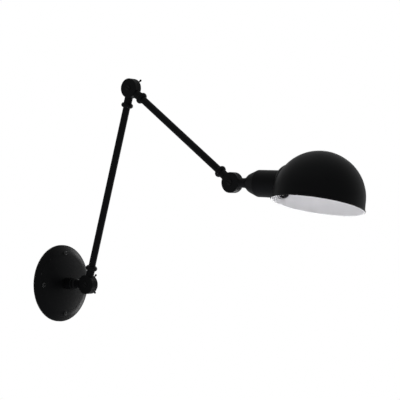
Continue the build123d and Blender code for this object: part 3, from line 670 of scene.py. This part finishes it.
def isEnamelled(face, s):
    # the enamel covers the inside and runs over the bead almost to its lowest line
    fromCentre = face.center - domeCentre
    height = fromCentre.dot(domeUp)
    if height < (s["bead"] - s["skirt"]) * mm:
        outward = (fromCentre - domeUp * height).normalized()
        return face.normal.dot(outward) < s["enamelEdge"]
    return face.normal.dot(fromCentre) < 0


shadePiece = addPiece(
    "domeShade",
    combine(shadeShape(shade), beadRing(shade), "UNION"),
    "head",
    "shade",
    "black_paint",
    "blackPaint",
    "whiteEnamel",
    smooth=shade["smooth"],
)
for face in shadePiece.data.polygons:
    face.material_index = 1 if isEnamelled(face, shade) else 0
print("shade made:", len(shadePiece.data.polygons), "faces")

# ---- ring that clamps the shade to the cup
shadeRing = {
    "outer": 19.55,
    "inner": 17.95,
    "start": 81.8,
    "seat": 95.8,
    "flange": 21.0,
    "end": 98.0,
    "edgeSoft": 0.3,
    "steps": 128,
}


def ringPath(r):
    return [
        (r["inner"], r["start"]),
        (r["outer"], r["start"]),
        (r["outer"], r["seat"]),
        (r["flange"], r["seat"]),
        (r["flange"], r["end"]),
        (r["inner"], r["end"]),
    ]


ringShape = turned(ringPath(shadeRing), collarPlace, shadeRing["steps"])
softenEdges(ringShape, shadeRing["edgeSoft"])
addPiece("shadeRing", ringShape, "head", "shade_ring", "black_paint", "blackPaint")
print("cup, shade and ring made")

# ---- floor, far below the lamp; from here on sizes are in metres
stage = {"radius": 2.4, "height": -1.5, "steps": 96}
floorShape = bmesh.new()
bmesh.ops.create_circle(
    floorShape, cap_ends=True, radius=stage["radius"], segments=stage["steps"]
)
bmesh.ops.translate(floorShape, verts=floorShape.verts, vec=(0, 0, stage["height"]))
floorMesh = bpy.data.meshes.new("floor")
floorShape.to_mesh(floorMesh)
floorShape.free()
floorMesh.materials.append(finishes["paleFloor"])
floor = bpy.data.objects.new("floor", floorMesh)
bpy.context.collection.objects.link(floor)
floor.visible_glossy = False  # neither mirrored in the lamp nor lighting it
floor.visible_diffuse = False

# ---- surround: white behind the lamp, and dimmer where it lights the lamp
studio = {
    "background": 1.0,
    "tint": (0.98, 0.99, 1.0, 1),
    "behind": (0.93, 0.37, 0.0),
    "front": 0.20,
    "back": 0.34,
    "start": -0.05,
    "end": 0.9,
}
world = bpy.data.worlds.new("studio")
bpy.context.scene.world = world
world.use_nodes = True
worldNodes, worldLinks = world.node_tree.nodes, world.node_tree.links
surround = worldNodes["Background"]
surround.inputs["Color"].default_value = studio["tint"]
direction = worldNodes.new("ShaderNodeTexCoord")
facing = worldNodes.new("ShaderNodeVectorMath")
facing.operation = "DOT_PRODUCT"
facing.inputs[1].default_value = studio["behind"]
worldLinks.new(direction.outputs["Generated"], facing.inputs[0])
level = worldNodes.new("ShaderNodeMapRange")
level.interpolation_type = "SMOOTHSTEP"
level.inputs["From Min"].default_value = studio["start"]
level.inputs["From Max"].default_value = studio["end"]
level.inputs["To Min"].default_value = studio["front"]
level.inputs["To Max"].default_value = studio["back"]
worldLinks.new(facing.outputs["Value"], level.inputs["Value"])
worldLinks.new(level.outputs["Result"], surround.inputs["Strength"])
seen = worldNodes.new("ShaderNodeBackground")
seen.inputs["Strength"].default_value = studio["background"]
seen.inputs["Color"].default_value = (1, 1, 1, 1)
rays = worldNodes.new("ShaderNodeLightPath")
choose = worldNodes.new("ShaderNodeMixShader")
worldLinks.new(rays.outputs["Is Camera Ray"], choose.inputs["Fac"])
worldLinks.new(surround.outputs["Background"], choose.inputs[1])
worldLinks.new(seen.outputs["Background"], choose.inputs[2])
worldLinks.new(choose.outputs["Shader"], worldNodes["World Output"].inputs["Surface"])

# ---- soft lights; the one below is kept narrow and out of reflections
lamps = {
    "overhead": {
        "at": (-0.3, -0.3, 1.6),
        "to": (-0.1, -0.3, 0.1),
        "size": 2.0,
        "power": 0.8,
        "spread": 180,
        "mirrored": True,
    },
    "under": {
        "at": (-0.15, -0.45, -0.8),
        "to": (0.01, -0.53, 0.13),
        "size": 0.6,
        "power": 2.1,
        "spread": 60,
        "mirrored": False,
    },
    "sideHigh": {
        "at": (0.95, -0.08, 0.33),
        "to": (0, -0.3, 0),
        "size": 0.28,
        "power": 0.85,
        "spread": 180,
        "mirrored": True,
    },
    "sideLow": {
        "at": (0.95, -0.08, -0.33),
        "to": (0, -0.3, 0),
        "size": 0.28,
        "power": 0.85,
        "spread": 180,
        "mirrored": True,
    },
}
for name, lamp in lamps.items():
    light = bpy.data.lights.new(name, "AREA")
    light.size = lamp["size"]
    light.energy = lamp["power"]
    light.spread = radians(lamp["spread"])
    holder = bpy.data.objects.new(name, light)
    bpy.context.collection.objects.link(holder)
    holder.location = lamp["at"]
    aim = Vector(lamp["to"]) - Vector(lamp["at"])
    holder.rotation_euler = aim.to_track_quat("-Z", "Y").to_euler()
    holder.visible_camera = False
    holder.visible_glossy = lamp["mirrored"]

# ---- camera, where the photo was taken from
view = {
    "at": (-1.5850023, -1.5199464, 0.1223017),
    "right": (0.60816779, -0.79380851, 0.0),
    "up": (-0.00814073, -0.00623694, 0.99994741),
    "lens": 112.771,
    "sensor": 36,
}
cameraData = bpy.data.cameras.new("photoView")
cameraData.lens = view["lens"]
cameraData.sensor_width = view["sensor"]
camera = bpy.data.objects.new("photoView", cameraData)
bpy.context.collection.objects.link(camera)
right, up = Vector(view["right"]), Vector(view["up"])
turn = Matrix((right, up, right.cross(up))).transposed().to_4x4()
camera.matrix_world = Matrix.Translation(view["at"]) @ turn
bpy.context.scene.camera = camera
bpy.context.scene.view_settings.view_transform = "Standard"  # the studio's white stays white
print("stage, lights and camera made")
